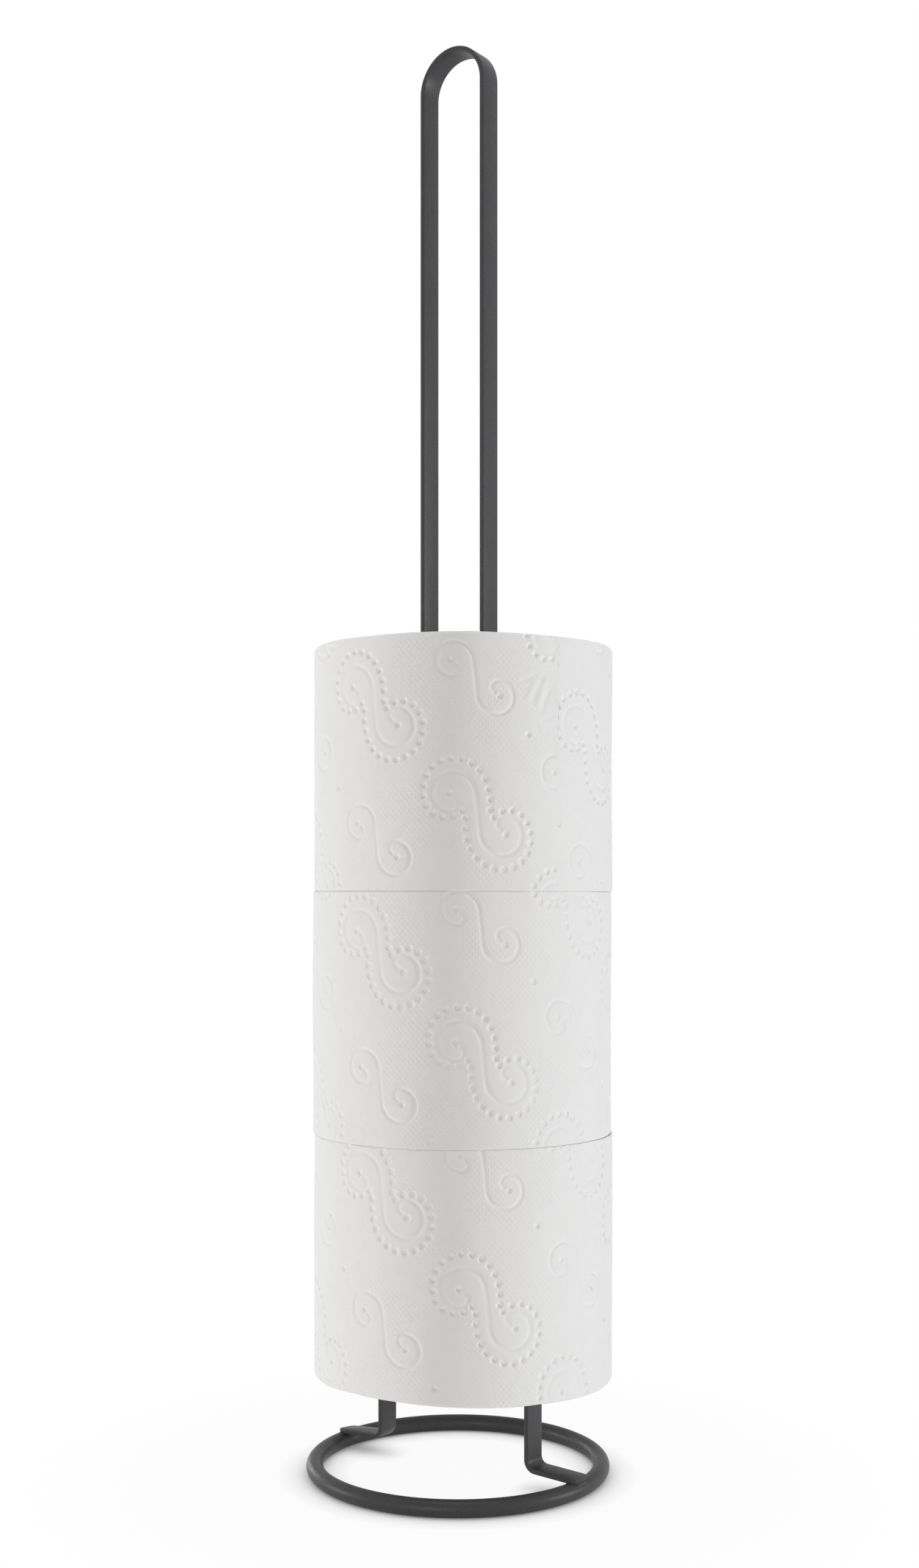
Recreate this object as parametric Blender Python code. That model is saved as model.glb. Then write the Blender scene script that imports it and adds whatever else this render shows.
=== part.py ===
"""A free-standing holder with three spare toilet rolls.

One flat steel strip is bent into a tall loop. Its two legs run down through the rolls,
turn outwards as the shoulders that carry them, drop as two risers, and turn outwards
again as feet, which are welded on top of a ring of round wire that lies on the floor.
The strip lies in the XZ plane. The origin is on the floor, in the middle of the ring.
Sizes are in metres.
"""

import math

import bmesh
import bpy
from mathutils import Matrix, Vector

# Base ring of round wire
ring_diameter = 0.1242
wire_diameter = 0.0069

# Bent strip
stand_height = 0.5838
strip_width = 0.01
strip_thickness = 0.002
strip_edge_round = 0.0003
foot_corner_round = 0.0012
leg_spacing = 0.0304
riser_spacing = 0.075
shoulder_top = 0.0414
bend_radius = 0.003
foot_reach_share = 0.6

# Welds between the feet and the ring
weld_rise_share = 0.6
inner_weld_wrap = math.radians(58)
outer_weld_wrap = math.radians(70)

# Rolls, from the lowest up; rims that press on the next roll stay nearly square
roll_names = ("lower", "middle", "upper")
roll_diameter = 0.1222
roll_width = 0.098
free_rim_round = 0.001
pressed_rim_round = 0.0004
bore_rim_round = 0.0008
core_wall = 0.001
core_play = 0.0025
drift_shares = ((0.7, 0.5), (0.55, 0.39), (0.7, 0.5))
tail_step = 0.0004
tail_angles = (math.radians(127), math.radians(109), math.radians(-16.4))

# Clearance between pieces that touch, and how near two corners lie to count as one
gap = 0.0003
merge_share = 0.001

# Steps round each curve
ring_steps = 88
wire_sides = 14
handle_steps = 12
bend_steps = 5
corner_steps = 3
roll_steps = 72
rim_steps = 4
bore_rim_steps = 2
core_steps = 48
weld_steps = 4

# Sizes that follow from the ones above
wire_radius = wire_diameter / 2
ring_radius = ring_diameter / 2 - wire_radius
foot_bottom = wire_diameter + gap
foot_end = ring_radius + foot_reach_share * wire_radius
leg_face = leg_spacing / 2 + strip_thickness / 2
core_bore = leg_face + bend_radius + core_play
core_radius = core_bore + core_wall
stack_bottom = shoulder_top + gap
stack_pitch = roll_width + gap
roll_drifts = [Vector((*share, 0)) * core_play for share in drift_shares]


def new_material(name, colour, roughness, metallic):
    """Make a plain Principled material."""
    material = bpy.data.materials.new(name)
    material.use_nodes = True
    shader = material.node_tree.nodes["Principled BSDF"]
    shader.inputs["Base Color"].default_value = (*colour, 1)
    shader.inputs["Roughness"].default_value = roughness
    shader.inputs["Metallic"].default_value = metallic
    return material


def add_object(name, mesh_data, material, location=Vector((0, 0, 0))):
    """Turn a bmesh into an object with smooth round faces and sharp corners."""
    bmesh.ops.recalc_face_normals(mesh_data, faces=mesh_data.faces)
    mesh = bpy.data.meshes.new(name)
    mesh_data.to_mesh(mesh)
    mesh_data.free()
    mesh.shade_smooth()
    mesh.set_sharp_from_angle(angle=math.radians(35))
    mesh.materials.append(material)
    piece = bpy.data.objects.new(name, mesh)
    piece.location = location
    bpy.context.collection.objects.link(piece)
    return piece


def arc_points(centre, radius, start, end, steps):
    """Points on an arc in a plane, both ends included."""
    turns = [start + (end - start) * i / steps for i in range(steps + 1)]
    return [Vector((centre[0] + radius * math.cos(a), centre[1] + radius * math.sin(a))) for a in turns]


def profile_loop(mesh_data, profile):
    """Draw a closed outline of (distance from the axis, height) points in the XZ plane."""
    corners = [mesh_data.verts.new((point[0], 0, point[1])) for point in profile]
    return [mesh_data.edges.new((a, b)) for a, b in zip(corners, corners[1:] + corners[:1])]


def turned_ring(profile, steps):
    """Spin a closed outline right round the Z axis."""
    mesh_data = bmesh.new()
    edges = profile_loop(mesh_data, profile)
    bmesh.ops.spin(
        mesh_data,
        geom=mesh_data.verts[:] + edges,
        cent=(0, 0, 0),
        axis=(0, 0, 1),
        angle=math.tau,
        steps=steps,
        use_merge=True,
    )
    return mesh_data


def turned_arc(profile, middle_angle, half_angle, steps):
    """Spin a closed outline over part of a turn and leave both ends capped."""
    mesh_data = bmesh.new()
    edges = profile_loop(mesh_data, profile)
    face = bmesh.ops.contextual_create(mesh_data, geom=edges)["faces"][0]
    start = Matrix.Rotation(middle_angle - half_angle, 3, "Z")
    bmesh.ops.rotate(mesh_data, verts=mesh_data.verts, cent=(0, 0, 0), matrix=start)
    bmesh.ops.spin(
        mesh_data,
        geom=[face],
        cent=(0, 0, 0),
        axis=(0, 0, 1),
        angle=2 * half_angle,
        steps=steps,
    )
    return mesh_data


def bent_path(corners, radii, steps):
    """Follow straight runs between corners, rounded by arcs; give points and headings."""
    stations = [(corners[0], (corners[1] - corners[0]).normalized())]
    for i, (radius, step_count) in enumerate(zip(radii, steps), start=1):
        heading_in = (corners[i] - corners[i - 1]).normalized()
        heading_out = (corners[i + 1] - corners[i]).normalized()
        turn = heading_in.angle_signed(heading_out)
        side = Vector((heading_in.y, -heading_in.x)) * math.copysign(1, turn)
        start = corners[i] - heading_in * radius * math.tan(abs(turn) / 2)
        centre = start + side * radius
        for step in range(step_count + 1):
            swing = Matrix.Rotation(-turn * step / step_count, 2)
            stations.append((centre - swing @ (side * radius), swing @ heading_in))
    stations.append((corners[-1], (corners[-1] - corners[-2]).normalized()))
    return stations


def strip_section(point, heading, half_width):
    """Corners of the strip's section, with a small chamfer on each long edge."""
    across = Vector((-heading.y, heading.x))
    half_thick = strip_thickness / 2
    cut = strip_edge_round
    outline = (
        (half_thick, half_width - cut),
        (half_thick - cut, half_width),
        (cut - half_thick, half_width),
        (-half_thick, half_width - cut),
        (-half_thick, cut - half_width),
        (cut - half_thick, -half_width),
        (half_thick - cut, -half_width),
        (half_thick, cut - half_width),
    )
    flat = [(point + across * thick, wide) for thick, wide in outline]
    return [(place.x, wide, place.y) for place, wide in flat]


def strip_centre_line():
    """Centre line of the strip from the end of one foot to the end of the other."""
    foot_level = foot_bottom + strip_thickness / 2
    shoulder_level = shoulder_top - strip_thickness / 2
    handle_level = stand_height - strip_thickness / 2
    half = [
        Vector((leg_spacing / 2, handle_level)),
        Vector((leg_spacing / 2, shoulder_level)),
        Vector((riser_spacing / 2, shoulder_level)),
        Vector((riser_spacing / 2, foot_level)),
        Vector((foot_end, foot_level)),
    ]
    mirrored = [Vector((-corner.x, corner.y)) for corner in reversed(half)]
    bend = bend_radius + strip_thickness / 2
    radii = [bend] * 3 + [leg_spacing / 2] * 2 + [bend] * 3
    steps = [bend_steps] * 3 + [handle_steps] * 2 + [bend_steps] * 3
    return bent_path(mirrored + half, radii, steps)


def foot_tip(point, heading):
    """Sections that round the two corners at the end of a foot, from the tip inwards."""
    sections = []
    for step in range(corner_steps + 1):
        swing = math.radians(90) * step / corner_steps
        inset = foot_corner_round * (1 - math.cos(swing))
        half_width = strip_width / 2 - foot_corner_round * (1 - math.sin(swing))
        sections.append(strip_section(point + heading * inset, heading, half_width))
    return sections


def make_strip_frame(material):
    """The bent strip: handle, legs, shoulders, risers and feet."""
    stations = strip_centre_line()
    first_point, first_heading = stations[0]
    last_point, last_heading = stations[-1]
    tip_in = foot_tip(first_point, first_heading)
    tip_out = [section[3::-1] + section[:3:-1] for section in foot_tip(last_point, -last_heading)]
    middle = [strip_section(point, heading, strip_width / 2) for point, heading in stations[1:-1]]
    mesh_data = bmesh.new()
    loops = [[mesh_data.verts.new(corner) for corner in s] for s in tip_in + middle + tip_out[::-1]]
    for one, two in zip(loops, loops[1:]):
        for i in range(len(one)):
            mesh_data.faces.new((one[i - 1], one[i], two[i], two[i - 1]))
    mesh_data.faces.new(loops[0])
    mesh_data.faces.new(loops[-1])
    return add_object("strip_frame", mesh_data, material)


def make_base_ring(material):
    """The wire ring, its section turned so that a flat side faces down and up."""
    corner_radius = wire_radius / math.cos(math.pi / wire_sides)
    first = math.pi / 2 + math.pi / wire_sides
    outline = arc_points((ring_radius, wire_radius), corner_radius, first, first + math.tau, wire_sides)
    return add_object("base_ring", turned_ring(outline[:-1], ring_steps), material)


def weld_outline(wrap, side):
    """Section of a bead against the wire, from the foot's underside down by the wrap angle."""
    reach = wire_radius + gap
    start = math.acos(wire_radius / reach)
    bead = arc_points((0, 0), reach, math.pi / 2 - start, math.pi / 2 - wrap, weld_steps)
    return [Vector((ring_radius + side * point.x, wire_radius + point.y)) for point in bead]


def make_weld(name, side, middle_angle, material):
    """A fillet bead across the foot, on the inner (-1) or outer (1) side of the wire."""
    half_angle = math.asin((strip_width / 2 - foot_corner_round) / ring_radius)
    if side < 0:
        outline = weld_outline(inner_weld_wrap, side)
        outline.append(Vector((outline[-1].x, wire_diameter)))
    else:
        outline = weld_outline(outer_weld_wrap, side)
        tip = (foot_end + gap) / math.cos(half_angle)
        outline.append(Vector((tip, foot_bottom + weld_rise_share * strip_thickness)))
        outline.append(Vector((tip, wire_diameter)))
    return add_object(name, turned_arc(outline, middle_angle, half_angle, weld_steps), material)


def make_core(name, place, material):
    """A cardboard core, a plain thin tube."""
    outline = [
        (core_bore, 0),
        (core_radius, 0),
        (core_radius, roll_width),
        (core_bore, roll_width),
    ]
    return add_object(f"{name}_core", turned_ring(outline, core_steps), material, place)


def roll_outline(low_round, high_round):
    """Section of the wound paper, with soft outer rims and slightly broken bore rims."""
    bore = core_radius + gap
    outside = roll_diameter / 2
    lip = bore + bore_rim_round
    quarter = math.pi / 2
    return (
        arc_points((lip, roll_width - bore_rim_round), bore_rim_round, 2 * quarter, quarter, bore_rim_steps)
        + arc_points((outside - high_round, roll_width - high_round), high_round, quarter, 0, rim_steps)
        + arc_points((outside - low_round, low_round), low_round, 0, -quarter, rim_steps)
        + arc_points((lip, bore_rim_round), bore_rim_round, -quarter, -2 * quarter, bore_rim_steps)
    )


def make_roll(name, place, tail_angle, low_round, high_round, material):
    """A wound roll, whose outer turn grows by one step up to the edge of its loose end."""
    mesh_data = bmesh.new()
    edges = profile_loop(mesh_data, roll_outline(low_round, high_round))
    bmesh.ops.spin(
        mesh_data,
        geom=mesh_data.verts[:] + edges,
        cent=(0, 0, 0),
        axis=(0, 0, 1),
        angle=math.tau,
        steps=roll_steps,
    )
    rim = roll_diameter / 2 - free_rim_round
    for layer, vertex in enumerate(mesh_data.verts):
        turn = layer // len(edges) / roll_steps
        reach = vertex.co.xy.length
        if reach > rim:
            shrink = tail_step * (1 - turn) * (reach - rim) / free_rim_round
            vertex.co.xy *= (reach - shrink) / reach
    bmesh.ops.remove_doubles(mesh_data, verts=mesh_data.verts, dist=merge_share * gap)
    open_edges = [edge for edge in mesh_data.edges if edge.is_boundary]
    bmesh.ops.contextual_create(mesh_data, geom=open_edges)
    bmesh.ops.rotate(
        mesh_data, verts=mesh_data.verts, cent=(0, 0, 0), matrix=Matrix.Rotation(tail_angle, 3, "Z")
    )
    return add_object(f"{name}_roll", mesh_data, material, place)


for old in list(bpy.data.objects):
    bpy.data.objects.remove(old, do_unlink=True)

strip_coat = new_material("strip_coat", (0.075, 0.075, 0.079), 0.5, 0.2)
wire_coat = new_material("wire_coat", (0.06, 0.06, 0.063), 0.5, 0.2)
weld_coat = new_material("weld_coat", (0.055, 0.055, 0.057), 0.6, 0.2)
tissue = new_material("tissue", (0.86, 0.86, 0.85), 0.95, 0)
cardboard = new_material("cardboard", (0.42, 0.33, 0.24), 0.9, 0)

make_base_ring(wire_coat)
make_strip_frame(strip_coat)
for foot, foot_angle in (("front", 0), ("rear", math.pi)):
    make_weld(f"{foot}_inner_weld", -1, foot_angle, weld_coat)
    make_weld(f"{foot}_outer_weld", 1, foot_angle, weld_coat)
top_level = len(roll_names) - 1
for level, (roll_name, drift, tail) in enumerate(zip(roll_names, roll_drifts, tail_angles)):
    roll_place = drift + Vector((0, 0, stack_bottom + level * stack_pitch))
    low_rim = free_rim_round if level == 0 else pressed_rim_round
    high_rim = free_rim_round if level == top_level else pressed_rim_round
    make_core(roll_name, roll_place, cardboard)
    make_roll(roll_name, roll_place, tail, low_rim, high_rim, tissue)
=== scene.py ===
import math

import bmesh
import bpy
import numpy as np
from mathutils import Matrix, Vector


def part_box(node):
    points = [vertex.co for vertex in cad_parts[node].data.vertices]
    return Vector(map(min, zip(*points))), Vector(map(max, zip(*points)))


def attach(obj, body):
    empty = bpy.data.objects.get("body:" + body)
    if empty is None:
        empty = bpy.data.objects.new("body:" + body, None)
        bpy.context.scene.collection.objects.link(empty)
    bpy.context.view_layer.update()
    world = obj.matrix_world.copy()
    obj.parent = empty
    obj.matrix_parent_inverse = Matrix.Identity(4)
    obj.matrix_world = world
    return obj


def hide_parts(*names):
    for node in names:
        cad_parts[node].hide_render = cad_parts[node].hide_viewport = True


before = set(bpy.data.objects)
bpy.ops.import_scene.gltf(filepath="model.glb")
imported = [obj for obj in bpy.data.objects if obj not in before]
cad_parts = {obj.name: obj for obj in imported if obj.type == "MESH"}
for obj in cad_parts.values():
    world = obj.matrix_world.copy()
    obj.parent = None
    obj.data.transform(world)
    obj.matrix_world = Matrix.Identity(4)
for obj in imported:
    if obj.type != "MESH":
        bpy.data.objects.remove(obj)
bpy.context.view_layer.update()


# Base ring. Round mild steel wire, rolled into a circle that lies flat on the floor and carries the whole stand. Its
# ends are butt welded at the back and ground almost flush, which leaves a low swelling in three small steps. It is
# powder coated in charcoal with the rest of the stand, after welding.
ring_wire = 0.0069
ring_segments, wire_segments = 240, 32
ring_joint_angle = math.radians(93)
ring_joint_reaches = (0.004, 0.0034, 0.0028)
ring_joint_step = 0.00012
ring_underside = 0.001


def linear(hex_colour):
    """Turn an sRGB hex colour into linear red, green, blue and alpha."""
    levels = [int(hex_colour[i : i + 2], 16) / 255 for i in (1, 3, 5)]
    return (*[c / 12.92 if c <= 0.04045 else ((c + 0.055) / 1.055) ** 2.4 for c in levels], 1)


def add_node(material, kind, inputs, **settings):
    """Add a node with its settings, and fill its sockets with values or with the outputs of other nodes."""
    node = material.node_tree.nodes.new("ShaderNode" + kind)
    for name, value in settings.items():
        setattr(node, name, value)
    for socket, value in inputs.items():
        if isinstance(value, bpy.types.NodeSocket):
            material.node_tree.links.new(value, node.inputs[socket])
        else:
            node.inputs[socket].default_value = value
    return node


def select_only(piece):
    """Select one object and nothing else."""
    bpy.ops.object.select_all(action="DESELECT")
    piece.select_set(True)
    bpy.context.view_layer.objects.active = piece


def start_piece(name, add_primitive, **size):
    """Add a primitive at its size and place, and open it in edit mode with nothing selected."""
    bpy.ops.object.select_all(action="DESELECT")
    add_primitive(**size)
    piece = bpy.context.object
    piece.name = piece.data.name = name
    bpy.ops.object.mode_set(mode="EDIT")
    bpy.ops.mesh.select_all(action="DESELECT")
    return piece


def choose(piece, kind, test):
    """Select the corners, edges or faces of the open piece whose middle passes a test."""
    bpy.ops.mesh.select_mode(type=kind)
    bpy.ops.mesh.select_all(action="DESELECT")
    shape = bmesh.from_edit_mesh(piece.data)
    for part in {"VERT": shape.verts, "EDGE": shape.edges, "FACE": shape.faces}[kind]:
        corners = [part] if kind == "VERT" else part.verts
        middle = sum((corner.co for corner in corners), Vector()) / len(corners)
        if test(piece.matrix_world @ middle):
            part.select_set(True)
    shape.select_flush_mode()
    bmesh.update_edit_mesh(piece.data)


def close_piece(piece):
    """Leave edit mode with the faces pointing outwards and the place in the mesh."""
    bpy.ops.mesh.select_all(action="SELECT")
    bpy.ops.mesh.normals_make_consistent(inside=False)
    bpy.ops.object.mode_set(mode="OBJECT")
    select_only(piece)
    bpy.ops.object.transform_apply(location=True, rotation=True, scale=True)


def add_modifier(piece, kind, **settings):
    """Add a modifier and apply it."""
    modifier = piece.modifiers.new(kind.title(), kind)
    for name, value in settings.items():
        setattr(modifier, name, value)
    select_only(piece)
    bpy.ops.object.modifier_apply(modifier=modifier.name)


def fit_to_frame(piece, body, node, material, sharp_angle=35):
    """Give a finished piece its coat and its smooth shading, and tie it to the frame."""
    select_only(piece)
    bpy.ops.object.shade_smooth_by_angle(angle=math.radians(sharp_angle))
    piece.data.materials.clear()
    piece.data.materials.append(material)
    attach(piece, body)
    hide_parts(node)


# Polyester powder coat, sprayed as a dry powder and baked at about 190 C. The grains melt together into a matt film
# with fine bumps 0.7 mm apart, so the light breaks up into small paler specks, painted here as glints in the colour.
powder_coat = bpy.data.materials.new("charcoal_powder_coat")
powder_coat.use_nodes = True
coat_shader = powder_coat.node_tree.nodes["Principled BSDF"]
coat_shader.inputs["IOR"].default_value = 1.5
coat_shader.inputs["Specular IOR Level"].default_value = 0.15
coat_place = add_node(powder_coat, "TexCoord", {}).outputs["Object"]
# The film's shade drifts over about 12 mm. Single grains 0.7 mm across are painted a little paler: painted glints
# that stand in for the light the grains break up.
coat_drift = add_node(powder_coat, "TexNoise", {"Vector": coat_place, "Scale": 1 / 0.012, "Detail": 2.0})
coat_grain = add_node(powder_coat, "TexNoise", {"Vector": coat_place, "Scale": 1 / 0.0007, "Detail": 3.0})
coat_shade = add_node(
    powder_coat, "Mix",
    {0: coat_drift.outputs["Fac"], 6: linear("#3d3d3f"), 7: linear("#454547")},
    data_type="RGBA",
)
# Painted glints: paler specks on single grains, painted into the coat's colour.
coat_glint_specks = add_node(
    powder_coat, "MapRange",
    {"Value": coat_grain.outputs["Fac"], "From Min": 0.52, "From Max": 0.75, "To Min": 0.0, "To Max": 0.35},
)
coat_colour = add_node(
    powder_coat, "Mix",
    {0: coat_glint_specks.outputs["Result"], 6: coat_shade.outputs[2], 7: linear("#5c5c60")},
    data_type="RGBA",
)
coat_gloss = add_node(
    powder_coat, "MapRange",
    {"Value": coat_grain.outputs["Fac"], "From Min": 0.3, "From Max": 0.7, "To Min": 0.46, "To Max": 0.38},
)
# Orange peel, wider bumps 2.5 mm apart, lies under the grain.
coat_peel = add_node(powder_coat, "TexNoise", {"Vector": coat_place, "Scale": 1 / 0.0025, "Detail": 1.0})
coat_peel_bump = add_node(powder_coat, "Bump", {"Height": coat_peel.outputs["Fac"], "Distance": 0.00005})
coat_grain_bump = add_node(
    powder_coat, "Bump",
    {"Height": coat_grain.outputs["Fac"], "Distance": 0.00004, "Normal": coat_peel_bump.outputs["Normal"]},
)
for socket, output in (
    ("Base Color", coat_colour.outputs[2]),
    ("Roughness", coat_gloss.outputs["Result"]),
    ("Normal", coat_grain_bump.outputs["Normal"]),
):
    powder_coat.node_tree.links.new(output, coat_shader.inputs[socket])

ring_low, ring_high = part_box("base_ring")
ring_radius = (ring_high.x - ring_low.x - ring_wire) / 2
wire_ring = start_piece(
    "wire_ring",
    bpy.ops.mesh.primitive_torus_add,
    major_radius=ring_radius,
    minor_radius=ring_wire / 2,
    major_segments=ring_segments,
    minor_segments=wire_segments,
    location=(0, 0, ring_wire / 2),
)
ring_joint = Vector((ring_radius * math.cos(ring_joint_angle), ring_radius * math.sin(ring_joint_angle)))
for reach in ring_joint_reaches:
    choose(wire_ring, "VERT", lambda co: (co.xy - ring_joint).length < reach and co.z > ring_underside)
    bpy.ops.transform.shrink_fatten(value=-ring_joint_step)
close_piece(wire_ring)
fit_to_frame(wire_ring, "stand", "base_ring", powder_coat)


# Bent strip. Flat mild steel, 10 x 2 mm, bent cold over round formers in one length: foot, riser, shoulder, leg,
# the rounded handle at the top, and the same again down the other side. The shoulders carry the rolls.
strip_thickness = 0.002
leg_spacing = 0.0304
riser_spacing = 0.075
shoulder_top = 0.0414
bend = 0.004
bend_steps, handle_steps = 8, 40
foot_corner, foot_corner_steps = 0.0022, 5
foot_sinks = {"front": 0.0008, "rear": 0.0014}
rear_foot_lean = 0.0005
edge_round, edge_round_steps = 0.00035, 3
bevelled_angle = math.radians(50)
hair = 1e-5

# The handle stands a little to the right of the middle, as bending by hand leaves it.
handle_drift = 0.0004

strip_low, strip_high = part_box("strip_frame")
strip_width = strip_high.y - strip_low.y
foot_end = strip_high.x
foot_level = strip_low.z + strip_thickness / 2
shoulder_level = shoulder_top - strip_thickness / 2
handle_level = strip_high.z - strip_thickness / 2 - leg_spacing / 2
quarter = math.pi / 2
foot_run = foot_end - riser_spacing / 2 - bend
riser_run = shoulder_level - foot_level - 2 * bend
shoulder_run = (riser_spacing - leg_spacing) / 2 - 2 * bend
leg_run = handle_level - shoulder_level - bend
# Straight runs, each with the turn, the radius and the steps of the bend at its end. The first run starts one strip
# width in, because the strip is drawn out of a square of its own width.
strip_route = [
    (foot_run - strip_width, quarter, bend, bend_steps),
    (riser_run, -quarter, bend, bend_steps),
    (shoulder_run + handle_drift, quarter, bend, bend_steps),
    (leg_run, -2 * quarter, leg_spacing / 2, handle_steps),
    (leg_run, quarter, bend, bend_steps),
    (shoulder_run - handle_drift, -quarter, bend, bend_steps),
    (riser_run, quarter, bend, bend_steps),
    (foot_run, 0, 0, 0),
]

bent_strip = start_piece(
    "bent_strip",
    bpy.ops.mesh.primitive_plane_add,
    size=strip_width,
    location=(strip_width / 2 - foot_end, 0, foot_level),
)
strip_start = strip_width - foot_end
strip_spot = Vector((strip_start, 0, foot_level))
strip_heading = 0.0
choose(bent_strip, "EDGE", lambda co: co.x > strip_start - hair)
for run, turn, radius, steps in strip_route:
    ahead = Vector((math.cos(strip_heading), 0, math.sin(strip_heading))) * run
    bpy.ops.mesh.extrude_region_move(TRANSFORM_OT_translate={"value": ahead})
    strip_spot += ahead
    if turn:
        lean = math.copysign(radius, turn)
        former = strip_spot + Vector((-math.sin(strip_heading), 0, math.cos(strip_heading))) * lean
        bpy.ops.mesh.spin(steps=steps, angle=turn, center=former, axis=(0, 1, 0))
        strip_heading += turn
        strip_spot = former - Vector((-math.sin(strip_heading), 0, math.cos(strip_heading))) * lean
choose(bent_strip, "EDGE", lambda co: abs(co.x - strip_start) < hair and abs(co.z - foot_level) < hair)
bpy.ops.mesh.dissolve_edges()
# The feet were pressed down on the wire for welding, and sank into it a little at their ends, the rear one askew.
for foot, side in (("front", 1), ("rear", -1)):
    for edge in (1, -1):
        choose(bent_strip, "VERT", lambda co: co.x * side > foot_end - hair and co.y * edge > 0)
        lean = rear_foot_lean * edge if foot == "rear" else 0
        bpy.ops.transform.translate(value=(0, 0, -foot_sinks[foot] - lean))
choose(bent_strip, "VERT", lambda co: abs(co.x) > foot_end - hair)
bpy.ops.mesh.bevel(offset=foot_corner, segments=foot_corner_steps, affect="VERTICES")
close_piece(bent_strip)
add_modifier(bent_strip, "SOLIDIFY", thickness=strip_thickness, offset=0, use_even_offset=True)
add_modifier(
    bent_strip, "BEVEL",
    width=edge_round, segments=edge_round_steps, limit_method="ANGLE", angle_limit=bevelled_angle,
)
fit_to_frame(bent_strip, "stand", "strip_frame", powder_coat, 40)


# Weld beads. Each foot is laid across the wire ring and welded to it on both sides of the wire, with short runs of
# filler metal whose ripples are still felt under the coat. The outer bead also rises against the end of the foot.
bead_length = 0.0072
bead_sides = 14
bead_ripples, bead_ripple_steps = 5, 4
bead_ripple_share = 0.03
bead_end_share = 0.45
bead_least_hump = 0.2
bead_sink_share = 0.8
# Beads as (distance out from the middle of the wire, height over the strip's underside, width).
bead_places = {"inner": (-0.0026, -0.0007, 0.0022), "outer": (0.0014, -0.001, 0.0026)}


def lay_bead(name, place, width, node):
    """Draw out one rippled bead across the foot, with round ends, and smooth it."""
    spot = place - Vector((0, bead_length / 2, 0))
    bead = start_piece(
        name,
        bpy.ops.mesh.primitive_circle_add,
        vertices=bead_sides,
        radius=width / 2 * bead_end_share,
        fill_type="NGON",
        location=spot,
        rotation=(quarter, 0, 0),
    )
    bpy.ops.mesh.select_all(action="SELECT")
    count = bead_ripples * bead_ripple_steps
    sizes = [bead_end_share]
    for step in range(1, count + 1):
        along = 2 * step / count - 1
        hump = math.sqrt(max(bead_least_hump, 1 - abs(along) ** 4))
        sizes.append(hump * (1 + bead_ripple_share * math.cos(math.tau * step / bead_ripple_steps)))
    for before, after in zip(sizes, sizes[1:]):
        step_on = Vector((0, bead_length / count, 0))
        spot += step_on
        bpy.ops.mesh.extrude_region_move(TRANSFORM_OT_translate={"value": step_on})
        bpy.ops.transform.resize(value=(after / before,) * 3, center_override=spot)
    close_piece(bead)
    add_modifier(bead, "SUBSURF", levels=2, render_levels=2)
    fit_to_frame(bead, "stand", node, powder_coat, 60)


for foot, side in (("front", 1), ("rear", -1)):
    for run, (reach, rise, width) in bead_places.items():
        bead_level = strip_low.z + rise - bead_sink_share * foot_sinks[foot]
        place = Vector((side * (ring_radius + reach), 0, bead_level))
        lay_bead(f"{foot}_{run}_bead", place, width, f"{foot}_{run}_weld")


# Cardboard cores. Two strips of grey recycled board are wound slantwise over each other and glued into a thin tube,
# which leaves a slanting seam inside and outside. The core hangs loosely round the two legs of the stand.
core_wall = 0.001
core_segments = 128
core_edge_round = 0.0002
roll_names = ("lower", "middle", "upper")
core_low, core_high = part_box("lower_core")
core_radius = (core_high.x - core_low.x) / 2
roll_axis = (core_low + core_high) / 2
roll_width = core_high.z - core_low.z
board_strip = 0.075
board_seam_share = 0.012

# Recycled core board, unbleached and uncoated: matt grey-brown with paler and darker fibres a few millimetres long.
core_board = bpy.data.materials.new("recycled_core_board")
core_board.use_nodes = True
board_shader = core_board.node_tree.nodes["Principled BSDF"]
board_shader.inputs["IOR"].default_value = 1.5
board_shader.inputs["Roughness"].default_value = 0.9
board_place = add_node(
    core_board, "Mapping",
    {"Vector": add_node(core_board, "TexCoord", {}).outputs["Object"], "Location": (-roll_axis.x, -roll_axis.y, 0)},
)
board_fibre = add_node(
    core_board, "TexNoise",
    {"Vector": add_node(core_board, "Mapping", {"Vector": board_place.outputs[0], "Scale": (1, 1, 3)}).outputs[0],
     "Scale": 1 / 0.0012, "Detail": 5.0, "Roughness": 0.7},
)
board_cloud = add_node(core_board, "TexNoise", {"Vector": board_place.outputs[0], "Scale": 1 / 0.009, "Detail": 2.0})
board_tone = add_node(
    core_board, "Mix",
    {0: board_fibre.outputs["Fac"], 6: linear("#8d8072"), 7: linear("#c5b8a6")},
    data_type="RGBA",
)
board_colour = add_node(
    core_board, "Mix",
    {0: board_cloud.outputs["Fac"], 6: board_tone.outputs[2], 7: linear("#a99b88")},
    data_type="RGBA",
)
# The seam climbs by one strip width for each turn round the tube.
board_split = add_node(core_board, "SeparateXYZ", {"Vector": board_place.outputs[0]})
board_angle = add_node(
    core_board, "Math", {0: board_split.outputs["Y"], 1: board_split.outputs["X"]}, operation="ARCTAN2"
)
board_turn = add_node(core_board, "Math", {0: board_angle.outputs[0], 1: math.tau}, operation="DIVIDE")
board_climb = add_node(
    core_board, "Math",
    {0: board_split.outputs["Z"], 1: 1 / board_strip, 2: board_turn.outputs[0]},
    operation="MULTIPLY_ADD",
)
board_phase = add_node(core_board, "Math", {0: board_climb.outputs[0]}, operation="FRACT")
board_seam = add_node(
    core_board, "MapRange",
    {"Value": board_phase.outputs[0], "From Min": 0.0, "From Max": board_seam_share, "To Min": 0.0, "To Max": 1.0},
)
board_dark = add_node(
    core_board, "Mix",
    {0: board_seam.outputs["Result"], 6: linear("#6f6355"), 7: board_colour.outputs[2]},
    data_type="RGBA",
)
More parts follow.
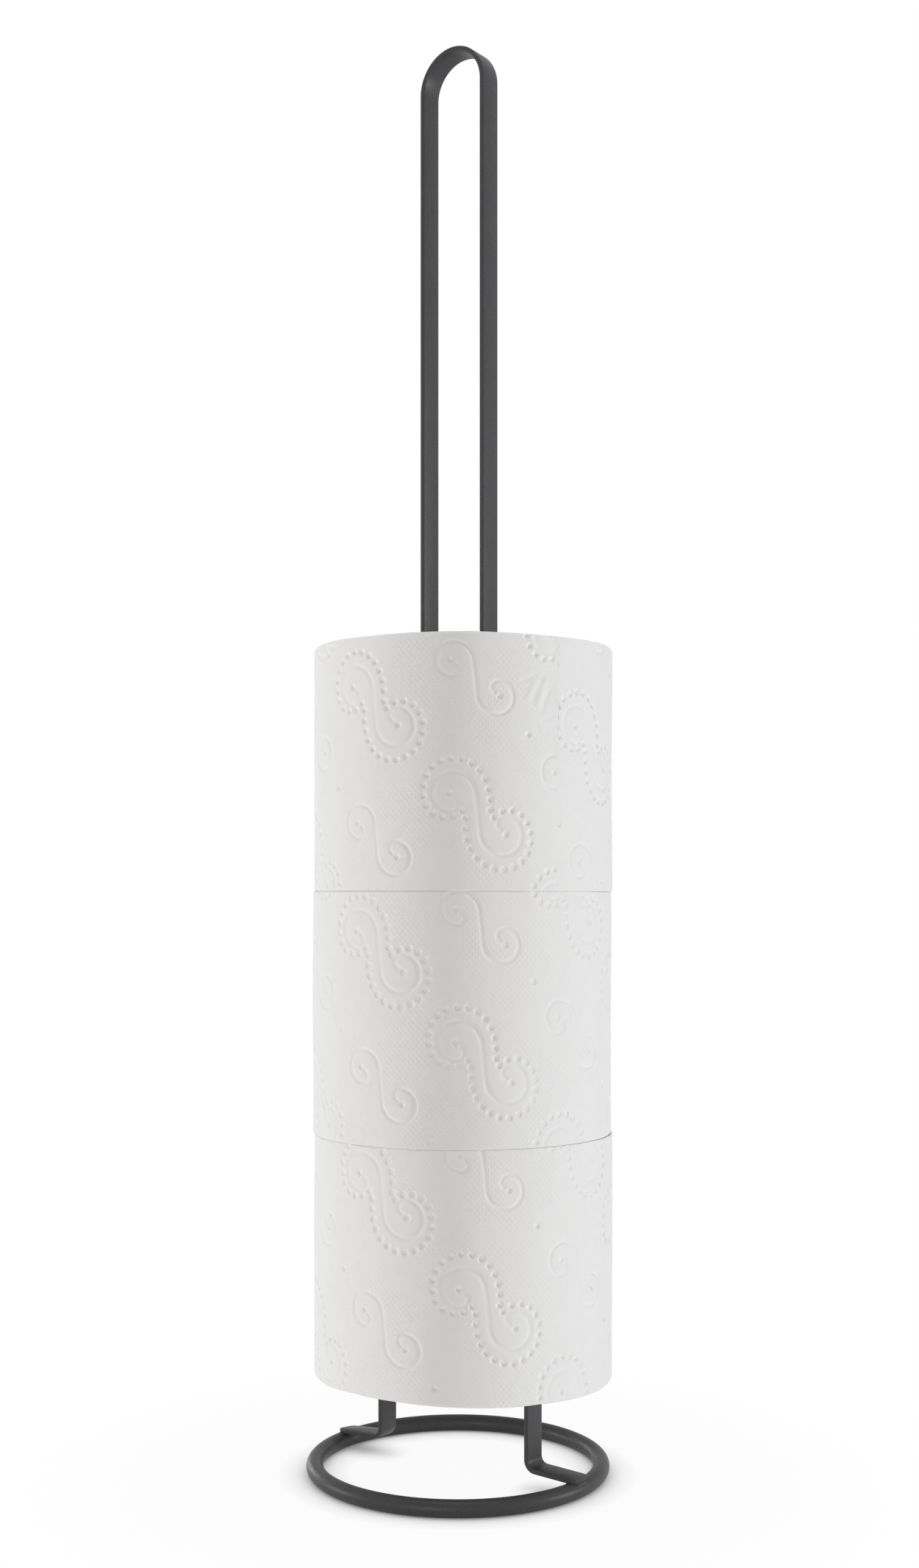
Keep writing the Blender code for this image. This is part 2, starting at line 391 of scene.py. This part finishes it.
board_fibre_bump = add_node(core_board, "Bump", {"Height": board_fibre.outputs["Fac"], "Distance": 0.0001})
board_seam_bump = add_node(
    core_board, "Bump",
    {"Height": board_seam.outputs["Result"], "Distance": 0.0003, "Normal": board_fibre_bump.outputs["Normal"]},
)
core_board.node_tree.links.new(board_dark.outputs[2], board_shader.inputs["Base Color"])
core_board.node_tree.links.new(board_seam_bump.outputs["Normal"], board_shader.inputs["Normal"])

for roll_name in roll_names:
    core_low, core_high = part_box(f"{roll_name}_core")
    tube = start_piece(
        f"{roll_name}_tube",
        bpy.ops.mesh.primitive_cylinder_add,
        vertices=core_segments,
        radius=core_radius,
        depth=roll_width,
        end_fill_type="NOTHING",
        location=(core_low + core_high) / 2,
    )
    close_piece(tube)
    add_modifier(tube, "SOLIDIFY", thickness=core_wall, offset=-1)
    add_modifier(
        tube, "BEVEL", width=core_edge_round, segments=2, limit_method="ANGLE", angle_limit=bevelled_angle
    )
    fit_to_frame(tube, f"{roll_name}_core", f"{roll_name}_core", core_board)


# Wound tissue. Each roll is about a hundred turns of soft two-ply paper, wound on its core and cut square with a
# saw, so its ends show the edges of the turns as fine rings, sunk by different amounts and a little askew.
paper_gap = 0.0003
turn_thickness = 0.00036
turns_drawn_as_one = 3
sheet_depth = 0.0016
roll_radius = 0.0611
point_pitches = {"X": 0.0023, "Y": 0.00249}
point_pit_depth = 0.000065
winding_segments = 240
end_bands, band_seed = 64, 7
band_sink, band_lean = 0.00012, 0.00008
rim_clear = 0.001

# Toilet tissue, dry creped and embossed: soft matt white fibre with no gloss. Fine pressed points lie in rows between
# the larger motifs, and the ends of a roll show the edges of the turns.
tissue = bpy.data.materials.new("embossed_tissue")
tissue.use_nodes = True
tissue_shader = tissue.node_tree.nodes["Principled BSDF"]
tissue_shader.inputs["IOR"].default_value = 1.5
tissue_shader.inputs["Roughness"].default_value = 0.95
tissue_shader.inputs["Specular IOR Level"].default_value = 0.2
tissue_place = add_node(
    tissue, "Mapping",
    {"Vector": add_node(tissue, "TexCoord", {}).outputs["Object"], "Location": (-roll_axis.x, -roll_axis.y, 0)},
)
tissue_cloud = add_node(tissue, "TexNoise", {"Vector": tissue_place.outputs[0], "Scale": 1 / 0.006, "Detail": 3.0})
tissue_colour = add_node(
    tissue, "Mix",
    {0: tissue_cloud.outputs["Fac"], 6: linear("#efefef"), 7: linear("#f3f3f4")},
    data_type="RGBA",
)
# Creping and loose fibres, 0.5 mm apart.
tissue_fibre = add_node(
    tissue, "TexNoise", {"Vector": tissue_place.outputs[0], "Scale": 1 / 0.0005, "Detail": 4.0, "Roughness": 0.6}
)
tissue_fibre_bump = add_node(tissue, "Bump", {"Height": tissue_fibre.outputs["Fac"], "Distance": 0.00004})
# Pressed points in a centred lattice, 2.30 mm apart along the sheet and 2.49 mm across it.
sheet_split = add_node(tissue, "SeparateXYZ", {"Vector": add_node(tissue, "UVMap", {}, uv_map="Sheet").outputs[0]})
point_waves = []
for axis, pitch in point_pitches.items():
    point_phase = add_node(
        tissue, "Math", {0: sheet_split.outputs[axis], 1: math.tau / pitch}, operation="MULTIPLY"
    )
    point_waves.append(add_node(tissue, "Math", {0: point_phase.outputs[0]}, operation="COSINE"))
point_row = add_node(
    tissue, "Math", {0: point_waves[0].outputs[0], 1: point_waves[1].outputs[0]}, operation="MULTIPLY"
)
point_pit = add_node(
    tissue, "MapRange", {"Value": point_row.outputs[0], "From Min": 0.0, "From Max": 1.0},
    interpolation_type="SMOOTHSTEP",
)
# The rollers press harder in some patches, 10 to 20 mm across, than in others.
point_patch = add_node(tissue, "TexNoise", {"Vector": tissue_place.outputs[0], "Scale": 1 / 0.016, "Detail": 1.0})
point_press = add_node(
    tissue, "MapRange",
    {"Value": point_patch.outputs["Fac"], "From Min": 0.4, "From Max": 0.6, "To Min": 0.55, "To Max": 1.15},
)
point_share = add_node(tissue, "Attribute", {}, attribute_name="points")
point_left = add_node(
    tissue, "Math", {0: point_press.outputs["Result"], 1: point_share.outputs["Fac"]}, operation="MULTIPLY"
)
point_depth = add_node(
    tissue, "Math", {0: point_pit.outputs["Result"], 1: point_left.outputs[0]}, operation="MULTIPLY"
)
point_bump = add_node(
    tissue, "Bump",
    {"Height": point_depth.outputs[0], "Distance": point_pit_depth, "Normal": tissue_fibre_bump.outputs["Normal"]},
    invert=True,
)
# Edges of the turns on the ends, as one spiral. Real turns are 0.36 mm apart; drawn three at a time so that they show.
edge_flat = add_node(tissue, "VectorMath", {0: tissue_place.outputs[0], 1: (1, 1, 0)}, operation="MULTIPLY")
edge_reach = add_node(tissue, "VectorMath", {0: edge_flat.outputs[0]}, operation="LENGTH")
edge_split = add_node(tissue, "SeparateXYZ", {"Vector": edge_flat.outputs[0]})
edge_angle = add_node(
    tissue, "Math", {0: edge_split.outputs["Y"], 1: edge_split.outputs["X"]}, operation="ARCTAN2"
)
edge_turn = add_node(tissue, "Math", {0: edge_angle.outputs[0], 1: math.tau}, operation="DIVIDE")
edge_count = add_node(
    tissue, "Math",
    {0: edge_reach.outputs["Value"], 1: 1 / (turns_drawn_as_one * turn_thickness), 2: edge_turn.outputs[0]},
    operation="MULTIPLY_ADD",
)
edge_wave = add_node(tissue, "Math", {0: edge_count.outputs[0], 1: 0.5}, operation="PINGPONG")
edge_share = add_node(tissue, "Attribute", {}, attribute_name="edges")
edge_depth = add_node(
    tissue, "Math", {0: edge_wave.outputs[0], 1: edge_share.outputs["Fac"]}, operation="MULTIPLY"
)
edge_bump = add_node(
    tissue, "Bump",
    {"Height": edge_depth.outputs[0], "Distance": 0.0003, "Normal": point_bump.outputs["Normal"]},
)
tissue.node_tree.links.new(tissue_colour.outputs[2], tissue_shader.inputs["Base Color"])
tissue.node_tree.links.new(edge_bump.outputs["Normal"], tissue_shader.inputs["Normal"])


def corner_places(piece):
    """All corners of a mesh as rows of x, y, z."""
    places = np.empty(len(piece.data.vertices) * 3)
    piece.data.vertices.foreach_get("co", places)
    return places.reshape(-1, 3)


def move_corners(piece, places):
    """Put all corners of a mesh at new places."""
    piece.data.vertices.foreach_set("co", places.ravel())
    piece.data.update()


def paint_share(piece, name, shares):
    """Keep one number for each corner, for the material to read."""
    piece.data.attributes.new(name, "FLOAT", "POINT").data.foreach_set("value", shares.astype(np.float32))


# The outer turns of a loose roll slip a little, so its free rims are not quite flat: (angle, slip) in degrees and mm.
# The slip starts at one reach from the axis, is whole a little further out, and fades with depth into the roll.
slip_start, slip_rise, slip_depth = 0.044, 0.015, 0.03
rim_slips = {
    "lower_bottom": ((-160, 0.3), (-118, 0.15), (-107, 0.75), (-98, 1.35), (-90, 1.2), (-77, 1.15), (-58, 0.5),
                     (-50, 0.25), (-34, -0.2), (-23, -0.25), (-8, -0.85), (1, -1.15), (9, -1.5), (17, -1.5),
                     (60, -0.9), (110, -0.2), (160, 0.3)),
    "upper_top": ((-160, 0.2), (-123, 0.65), (-115, 0.7), (-98, 0.4), (-90, 0.3), (-77, 0.38), (-58, 0.46), (-50, 0.46),
                  (-34, 0.18), (-23, 0.0), (-8, 0.1), (1, 0.25), (9, 0.45), (17, 0.6), (80, 0.1), (140, -0.1)),
}


def rim_slip(angle, depth, reach, rim):
    """How far the paper has slipped along the roll, at an angle, a depth below the rim and a reach from the axis."""
    knots, slips = np.array(rim_slips[rim]).T
    slip = np.interp(angle, np.radians(knots), slips / 1000, period=math.tau)
    share = np.clip((reach - slip_start) / slip_rise, 0, 1)
    return slip * np.clip(1 - depth / slip_depth, 0, 1) ** 2 * share ** 2 * (3 - 2 * share)


for level, roll_name in enumerate(roll_names):
    paper_low, paper_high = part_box(f"{roll_name}_roll")
    core_low, core_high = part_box(f"{roll_name}_core")
    roll_axis = (core_low + core_high) / 2
    bore = core_radius + paper_gap
    outside = roll_radius - sheet_depth
    winding = start_piece(
        f"{roll_name}_winding",
        bpy.ops.mesh.primitive_cylinder_add,
        vertices=winding_segments,
        radius=outside,
        depth=roll_width,
        end_fill_type="NGON",
        location=(roll_axis.x, roll_axis.y, (paper_low.z + paper_high.z) / 2),
    )
    winding_top, winding_bottom = paper_high.z - hair, paper_low.z + hair
    on_end = lambda co: co.z > winding_top or co.z < winding_bottom
    choose(winding, "FACE", on_end)
    bpy.ops.mesh.inset(thickness=outside - bore)
    bpy.ops.mesh.delete(type="FACE")
    flat_reach = lambda co: (co.xy - roll_axis.xy).length
    choose(winding, "EDGE", lambda co: on_end(co) and flat_reach(co) < bore + hair)
    bpy.ops.mesh.bridge_edge_loops()
    choose(winding, "EDGE", lambda co: on_end(co) and bore + rim_clear < flat_reach(co) < outside - rim_clear)
    bpy.ops.mesh.subdivide(number_cuts=end_bands - 1)
    close_piece(winding)
    places = corner_places(winding)
    across, along = places[:, 0] - roll_axis.x, places[:, 1] - roll_axis.y
    reach, angle = np.hypot(across, along), np.arctan2(along, across)
    band = np.rint((reach - bore) / (outside - bore) * end_bands).astype(int)
    sink, lean_x, lean_y = np.random.default_rng(band_seed + level).normal(0, 1, (3, end_bands + 1))
    sunk = band_sink * sink[band] + band_lean * (lean_x[band] * np.cos(angle) + lean_y[band] * np.sin(angle))
    inside_end = (band > 0) & (band < end_bands)
    top = places[:, 2] > winding_top - 10 * hair
    places[:, 2] -= np.where(inside_end, np.abs(sunk) * np.where(top, 1, -1), 0)
    if roll_name == "lower":
        places[:, 2] += rim_slip(angle, places[:, 2] - winding_bottom, reach, "lower_bottom")
    if roll_name == "upper":
        places[:, 2] += rim_slip(angle, winding_top - places[:, 2], reach, "upper_top")
    move_corners(winding, places)
    paint_share(winding, "edges", np.ones(len(places)))
    fit_to_frame(winding, f"{roll_name}_roll", f"{roll_name}_roll", tissue)


# Embossed sheets. The last turn of each roll, with its sheets marked off by two perforations and the cut end of the
# paper. Steel rollers pressed the pattern into the paper before it was wound: scrolls with a border of round
# points, plain scrolls and single points, all pressed in, so they are cut into the mesh itself.
front_angle = math.radians(-53)
tail_angles = {"lower": math.radians(127), "middle": math.radians(109), "upper": math.radians(-16.4)}
tail_step = 0.00005
tail_flat = 0.002
tail_press_share = 0.2
free_rim_round = 0.001
pressed_rim_round = 0.0004
pressed_rim_swell = 0.00014
sheets_per_turn = 3
sheet_cell = 0.00045

# The pattern's sizes. Its step is given twice, as (along the sheet, down it), and so are the places of one bordered
# scroll on each roll. A plain scroll stands midway between four bordered ones.
scroll_steps = np.array((0.042, 0.042)), np.array((-0.040, 0.061))
scroll_places = {"upper": (0.0054, 0.0689), "middle": (0.00805, 0.0650), "lower": (0.0091, 0.0603)}
scroll_reach = 0.03
scroll_repeats = range(-8, 9)
plain_scroll_share = 0.865
plain_scroll_clear = 0.0022
point_radius, point_deep = 0.00165, 0.00088
line_radius, line_deep, plain_line_deep = 0.0014, 0.0003, 0.00041
# The long stem is pressed less than the curls, which start this far from the middle of the scroll.
stem_share, stem_reach = 0.5, 0.011


def drawn_line(start, heading, runs, spacing):
    """Points along a pen line of straight runs and arcs that turn one way; sizes in millimetres, angles in degrees."""
    place, heading = np.array(start, float), math.radians(heading)
    points, left = [], spacing[0]
    for length, radius in runs:
        arc = length if radius is None else radius * math.radians(length)
        while left <= arc:
            if radius is None:
                spot = place + left * np.array((math.sin(heading), math.cos(heading)))
            else:
                swing = left / radius
                centre = place + radius * np.array((math.cos(heading), -math.sin(heading)))
                spot = centre - radius * np.array((math.cos(heading + swing), -math.sin(heading + swing)))
            points.append(spot)
            left += spacing[1]
        left -= arc
        if radius is None:
            place = place + length * np.array((math.sin(heading), math.cos(heading)))
        else:
            centre = place + radius * np.array((math.cos(heading), -math.sin(heading)))
            heading += math.radians(length)
            place = centre - radius * np.array((math.cos(heading), -math.sin(heading)))
    return np.array(points) / 1000


border_runs = [(4.8, None), (38, 19), (175, 12.1), (110, 8.4)]
border_half = drawn_line((-4.65, 0), 0, border_runs, (1.5, 4.0))[:18]
border_points = np.vstack((border_half, -border_half))
border_line = drawn_line((-4.65, 0), 0, border_runs, (0, 0.4))
border_line = np.vstack((border_line, -border_line))
scroll_half = drawn_line((0, 0), 6, [(7.5, None), (74, 9.3), (180, 7.5), (100, 3.2), (75, 2.4)], (0, 0.35))
scroll_line = np.vstack((scroll_half, -scroll_half))
scroll_eyes = np.array(((0.0108, 0.0078), (-0.0108, -0.0078)))


def nearest(u, v, points, reach):
    """Distance from each place on the sheet to the nearest of some points, no further than a given reach."""
    least = np.full(u.shape, reach)
    for point in points:
        rows = (np.abs(u - point[0]) < reach) & (np.abs(v - point[1]) < reach)
        least[rows] = np.minimum(least[rows], np.hypot(u[rows] - point[0], v[rows] - point[1]))
    return least


def inside_line(u, v, line):
    """True where a place on the sheet lies inside a closed line."""
    inside = np.zeros(u.shape, bool)
    for (u1, v1), (u2, v2) in zip(line, np.roll(line, -1, axis=0)):
        if v1 != v2:
            crosses = (v1 > v) != (v2 > v)
            inside ^= crosses & (u < u1 + (v - v1) / (v2 - v1) * (u2 - u1))
    return inside


def dimple(distance, radius):
    """Depth share of a round-bottomed dent at a distance from its middle."""
    return np.where(distance < radius, 0.5 + 0.5 * np.cos(np.pi * distance / radius), 0)


def pressed_pattern(u, v, centre):
    """Depth of the pressed pattern at places on the sheet, and the share of the fine points left there."""
    depth, points = np.zeros(u.shape), np.ones(u.shape)
    for i in scroll_repeats:
        for j in scroll_repeats:
            place = np.array(centre) + i * scroll_steps[0] + j * scroll_steps[1]
            plain = place - (scroll_steps[0] + scroll_steps[1]) / 2
            single = place - scroll_steps[1] / 2
            for spot, share, bordered in ((place, 1, True), (plain, plain_scroll_share, False)):
                near = (np.abs(u - spot[0]) < scroll_reach) & (np.abs(v - spot[1]) < scroll_reach)
                if not near.any():
                    continue
                du, dv = (u[near] - spot[0]) / share, (v[near] - spot[1]) / share
                line = dimple(nearest(du, dv, scroll_line, line_radius), line_radius)
                line *= line_deep if bordered else plain_line_deep
                line *= stem_share + (1 - stem_share) * np.clip(np.hypot(du, dv) / stem_reach, 0, 1) ** 3
                eyes = dimple(nearest(du, dv, scroll_eyes, point_radius), point_radius) * point_deep
                here = np.maximum(line, eyes)
                if bordered:
                    border = dimple(nearest(du, dv, border_points, point_radius), point_radius) * point_deep
                    here = np.maximum(here, border)
                    left = np.where(inside_line(du, dv, border_line), 0, 1)
                else:
                    clear = nearest(du, dv, scroll_line, plain_scroll_clear)
                    left = 1 - dimple(clear, plain_scroll_clear)
                points[near] = np.minimum(points[near], left)
                depth[near] = np.maximum(depth[near], here)
            near = (np.abs(u - single[0]) < point_radius) & (np.abs(v - single[1]) < point_radius)
            if near.any():
                distance = np.hypot(u[near] - single[0], v[near] - single[1])
                depth[near] = np.maximum(depth[near], dimple(distance, point_radius) * point_deep)
    return depth, points


# The tail of the paper: how far its cut edge stands off, at distances down from the upper rim, and the creases that
# the glue under it drew, as lines of (distance back from the edge, distance down), with their height, in millimetres.
tail_lifts = {
    "upper": ((0, 0.1), (1.5, 0.2), (3, 0.45), (6.5, 0.4), (8, 0.05), (15, 0.0), (18, 0.1), (23, 0.15), (25, 0.4),
              (28, 0.4), (30, 0.0), (41, 0.0), (44, 0.1), (51, 0.1), (56, -0.04), (98, -0.04)),
    "middle": ((0, 0.3), (9, 0.1), (22, 0.5), (31, 0.1), (60, 0.2), (75, 0.45), (90, 0.1), (98, 0.4)),
    "lower": ((0, 0.1), (18, 0.35), (40, 0.05), (62, 0.15), (70, 0.5), (82, 0.1), (98, 0.2)),
}
glue_creases = (
    (((14.1, 24.8), (11.4, 19.8), (10.9, 18.9)), 0.22), (((11.2, 24.6), (9.8, 20.9)), -0.22),
    (((15.6, 17.7), (13.6, 17.1), (10.7, 15.5)), -0.24), (((7.7, 16.2), (8.0, 18.0)), -0.2),
    (((9.3, 26.3), (7.4, 21.4), (6.0, 17.5)), 0.25), (((7.4, 29.0), (5.8, 24.1), (4.3, 21.6)), -0.3),
    (((1.3, 20.4), (1.1, 24.2)), 0.12), (((7.0, 32.2), (4.1, 32.1)), -0.16), (((5.1, 33.3), (1.6, 33.1)), 0.14),
    (((8.9, 33.7), (7.0, 36.6)), 0.16), (((5.5, 13.4), (1.1, 13.1)), -0.1),
)
crease_radius = 0.0018
lift_reach, crease_reach = 0.006, 0.02


def along_line(line, spacing=0.3):
    """Points along a bent line, in metres from corners in millimetres."""
    points = [np.array(line[0])]
    for start, end in zip(line, line[1:]):
        count = math.ceil(math.dist(start, end) / spacing)
        points += [np.array(start) + (np.array(end) - np.array(start)) * step / count for step in range(1, count + 1)]
    return np.array(points) / 1000


def tail_relief(back, v, roll_name):
    """Height of the paper near its cut edge: the edge stands off here and there, and glue creases lie behind it."""
    down, lift = np.array(tail_lifts[roll_name]).T / 1000
    height = np.interp(v, down, lift) * np.clip(1 - back / lift_reach, 0, 1) ** 2
    turned = v if roll_name == "upper" else roll_width - v
    near = back < crease_reach
    for line, crease in glue_creases:
        distance = nearest(back[near], turned[near], along_line(line), crease_radius)
        height[near] += dimple(distance, crease_radius) * crease / 1000
    return height


# Soft waves in the wound paper, 30 to 80 mm long: waves round the roll, and their phase for each metre down it.
wave_height, wave_seed = 0.00005, 40
wave_turns, wave_drops = (5, 8, 11, 3, 13), (38, -55, 24, 90, 70)

for level, roll_name in enumerate(roll_names):
    paper_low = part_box(f"{roll_name}_roll")[0]
    core_low, core_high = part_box(f"{roll_name}_core")
    roll_axis = (core_low + core_high) / 2
    # Rims that press on the next roll swell and stay nearly square, the two free ones are rounder.
    low_round, low_swell = (free_rim_round, 0) if roll_name == "lower" else (pressed_rim_round, pressed_rim_swell)
    high_round, high_swell = (free_rim_round, 0) if roll_name == "upper" else (pressed_rim_round, pressed_rim_swell)
    low_arc, high_arc = low_round * quarter, high_round * quarter
    rim_low, rim_high = paper_low.z - low_swell, paper_low.z + roll_width + high_swell
    sheet_height = rim_high - rim_low - low_round - high_round + low_arc + high_arc
    wave_phases = np.random.default_rng(wave_seed + level).uniform(0, math.tau, len(wave_turns))
    for number in range(sheets_per_turn):
        first_turn, last_turn = number / sheets_per_turn, (number + 1) / sheets_per_turn
        # A flat sheet first: x runs along the paper from 0 to 1, y runs from the lower rim to the upper rim.
        sheet = start_piece(
            f"{roll_name}_sheet_{number + 1}",
            bpy.ops.mesh.primitive_grid_add,
            x_subdivisions=round(math.tau * roll_radius / sheets_per_turn / sheet_cell),
            y_subdivisions=round(sheet_height / sheet_cell),
            size=1,
            location=(0.5, 0.5, 0),
        )
        close_piece(sheet)
        flat = corner_places(sheet)
        turn = first_turn + (last_turn - first_turn) * flat[:, 0]
        climb = flat[:, 1] * sheet_height
        angle = tail_angles[roll_name] - math.tau * (1 - turn)
        # Height and inward reach along the rounded profile.
        low_bend = np.clip(1 - climb / low_arc, 0, 1) * quarter
        high_bend = np.clip((climb - sheet_height + high_arc) / high_arc, 0, 1) * quarter
        bend_in = low_bend + high_bend
        height = np.clip(climb - low_arc + low_round, low_round, rim_high - rim_low - high_round)
        height += high_round * np.sin(high_bend) - low_round * np.sin(low_bend)
        pull_in = low_round * (1 - np.cos(low_bend)) + high_round * (1 - np.cos(high_bend))
        reach = roll_radius - pull_in - tail_step * (1 - turn) * np.cos(bend_in)
        # Distance along the sheet from the front of the roll, and down from its upper rim.
        u = (angle - front_angle) * roll_radius
        v = roll_width - (climb - low_arc + low_round - low_swell)
        depth, points = pressed_pattern(u, v, scroll_places[roll_name])
        waves = sum(
            np.sin(around * angle + down * v + phase)
            for around, down, phase in zip(wave_turns, wave_drops, wave_phases)
        )
        depth -= wave_height * waves
        if number == sheets_per_turn - 1:
            back = (1 - turn) * math.tau * roll_radius
            depth = depth * np.clip(back / tail_flat, tail_press_share, 1) - tail_relief(back, v, roll_name)
        reach -= depth * np.cos(bend_in) ** 2
        if roll_name == "lower":
            height += rim_slip(angle, height, reach, "lower_bottom")
        if roll_name == "upper":
            height += rim_slip(angle, rim_high - rim_low - height, reach, "upper_top")
        places = np.column_stack((
            roll_axis.x + reach * np.cos(angle), roll_axis.y + reach * np.sin(angle), rim_low + height,
        ))
        move_corners(sheet, places)
        layer = sheet.data.uv_layers[0]
        layer.name = "Sheet"
        loops = np.empty(len(sheet.data.loops), int)
        sheet.data.loops.foreach_get("vertex_index", loops)
        layer.data.foreach_set("uv", np.column_stack((u, v))[loops].astype(np.float32).ravel())
        paint_share(sheet, "points", points * np.cos(bend_in))
        paint_share(sheet, "edges", np.sin(bend_in) ** 4)
        # Close it at the back: bridge the two long rims with one face for each column, then fill the two ends.
        select_only(sheet)
        bpy.ops.object.mode_set(mode="EDIT")
        bpy.ops.mesh.select_mode(type="VERT")
        bpy.ops.mesh.select_all(action="DESELECT")
        rims = (flat[:, 1] < hair) | (flat[:, 1] > 1 - hair)
        shape = bmesh.from_edit_mesh(sheet.data)
        shape.verts.ensure_lookup_table()
        for corner in np.flatnonzero(rims):
            shape.verts[corner].select_set(True)
        shape.select_flush_mode()
        bmesh.update_edit_mesh(sheet.data)
        bpy.ops.mesh.select_mode(type="EDGE")
        bpy.ops.mesh.bridge_edge_loops()
        bpy.ops.mesh.select_all(action="DESELECT")
        bpy.ops.mesh.select_non_manifold()
        bpy.ops.mesh.fill_holes(sides=0)
        close_piece(sheet)
        fit_to_frame(sheet, f"{roll_name}_roll", f"{roll_name}_roll", tissue, 70)


# Floor. A seamless white sweep under the stand. It glows white, and the camera sees it as white paper with the stand's
# soft shadow painted into the glow.
floor_size = 6
# Share of glow that the floor sends onto the object from below: light from a glowing floor that is no lamp.
floor_glow_below = 0.42
contact_reach = 0.012
bpy.ops.mesh.primitive_plane_add(size=floor_size, location=(0, 0, 0))
floor = bpy.context.object
floor.name = "floor"
white_floor = bpy.data.materials.new("white_floor")
white_floor.use_nodes = True
floor_nodes = white_floor.node_tree.nodes
floor_shader = floor_nodes["Principled BSDF"]
floor_shader.inputs["Base Color"].default_value = linear("#c0c0c0")
floor_shader.inputs["Roughness"].default_value = 0.9
# Painted contact shadow: the floor's glow is darkened by ambient occlusion where something stands or lies close to it.
floor_open = add_node(white_floor, "AmbientOcclusion", {"Distance": contact_reach}, samples=8)
floor_glow_painted_shadow = add_node(white_floor, "MapRange", {"Value": floor_open.outputs["AO"], "To Min": 0.1, "To Max": 1.0})
floor_glow = add_node(white_floor, "Emission", {"Color": (1, 1, 1, 1), "Strength": floor_glow_painted_shadow.outputs["Result"]})
floor_rays = add_node(white_floor, "LightPath", {})
floor_seen = add_node(
    white_floor, "Math",
    {0: floor_rays.outputs["Is Camera Ray"], 1: floor_rays.outputs["Is Glossy Ray"]}, operation="MAXIMUM",
)
floor_reach = add_node(
    white_floor, "VectorMath", {0: add_node(white_floor, "TexCoord", {}).outputs["Object"]}, operation="LENGTH"
)
floor_fade = add_node(
    white_floor, "MapRange",
    {"Value": floor_reach.outputs["Value"], "From Min": 0.05, "From Max": 0.2, "To Min": 0.95, "To Max": 1.0},
)
# For rays that are neither the camera's nor glossy ones the floor glows at this share, so it lights the object from
# below as a glowing floor, not a lamp, about as much as the top lamp does from above, so the embossed pattern has no
# light and dark side up and down.
floor_share = add_node(
    white_floor, "Mix",
    {0: floor_seen.outputs[0], 2: floor_glow_below, 3: floor_fade.outputs["Result"]},
    data_type="FLOAT",
)
floor_mix = add_node(
    white_floor, "MixShader",
    {0: floor_share.outputs[0], 1: floor_shader.outputs[0], 2: floor_glow.outputs[0]},
)
white_floor.node_tree.links.new(floor_mix.outputs[0], floor_nodes["Material Output"].inputs["Surface"])
floor.data.materials.append(white_floor)

# Room light. White all round for the camera and for reflections, and a weak even light on everything else.
room = bpy.data.worlds.new("white_room")
room.use_nodes = True
bpy.context.scene.world = room
room_rays = add_node(room, "LightPath", {})
room_seen = add_node(
    room, "Math",
    {0: room_rays.outputs["Is Camera Ray"], 1: room_rays.outputs["Is Glossy Ray"]}, operation="MAXIMUM",
)
room_strength = add_node(room, "MapRange", {"Value": room_seen.outputs[0], "To Min": 0.02, "To Max": 1.0})
room.node_tree.nodes["Background"].inputs["Color"].default_value = (1, 1, 1, 1)
room.node_tree.links.new(room_strength.outputs["Result"], room.node_tree.nodes["Background"].inputs["Strength"])

# Softboxes. Narrow ones stand square to the right and left of the stand, and a large warm one stands a little to the
# left of the camera, which together leave a darker upright band down the front of the rolls. A weak one lights the
# back, and one hangs over the stand.
camera_turn = math.radians(37)
lamp_aim = Vector((0, 0, 0.28))


def add_softbox(name, side_angle, height, distance, size, power, colour="#ffffff"):
    """A rectangular light that faces the middle of the stand, at an angle to the right of the camera."""
    heading = camera_turn + side_angle
    place = Vector((distance * math.sin(heading), -distance * math.cos(heading), height))
    data = bpy.data.lights.new(name, "AREA")
    data.shape = "RECTANGLE"
    data.size, data.size_y = size
    data.energy = power
    data.color = linear(colour)[:3]
    light = bpy.data.objects.new(name, data)
    light.location = place
    light.rotation_mode = "QUATERNION"
    light.rotation_quaternion = (lamp_aim - place).to_track_quat("-Z", "Y")
    light.visible_camera = False
    bpy.context.collection.objects.link(light)


add_softbox("right_softbox", math.radians(85), 0.3, 2.0, (0.25, 0.6), 21.8)
add_softbox("left_softbox", math.radians(-98), 0.3, 2.0, (0.25, 0.6), 15.1)
add_softbox("front_softbox", math.radians(-19), 0.32, 3.0, (0.8, 0.64), 29.6, "#fffcf8")
add_softbox("back_softbox", math.radians(-142), 0.3, 2.0, (0.7, 0.6), 6.2)
add_softbox("top_softbox", math.radians(0), 2.3, 0.1, (0.8, 0.8), 20)

# Camera. Level, 235 mm above the floor, and turned 37 degrees from the square view of the handle. The picture is
# shifted down so that the whole handle fits in. Rows and columns are in pixels of a picture 1250 wide and 2132 high.
photo_width, photo_height = 1250, 2132
camera_distance = 0.770
pixels_per_metre = 3305.0
middle_column, horizon_row, ring_row = 622.9, 1222.5, 1999.5
camera_data = bpy.data.cameras.new("camera")
camera_data.lens = pixels_per_metre * camera_distance / photo_height * camera_data.sensor_width
camera_data.shift_x = (photo_width / 2 - middle_column) / photo_height
camera_data.shift_y = (horizon_row - photo_height / 2) / photo_height
camera_data.clip_start = 0.05
camera = bpy.data.objects.new("camera", camera_data)
camera.location = (
    camera_distance * math.sin(camera_turn),
    -camera_distance * math.cos(camera_turn),
    (ring_row - horizon_row) / pixels_per_metre,
)
camera.rotation_euler = (quarter, 0, camera_turn)
bpy.context.collection.objects.link(camera)
bpy.context.scene.camera = camera
bpy.context.scene.view_settings.view_transform = "Standard"
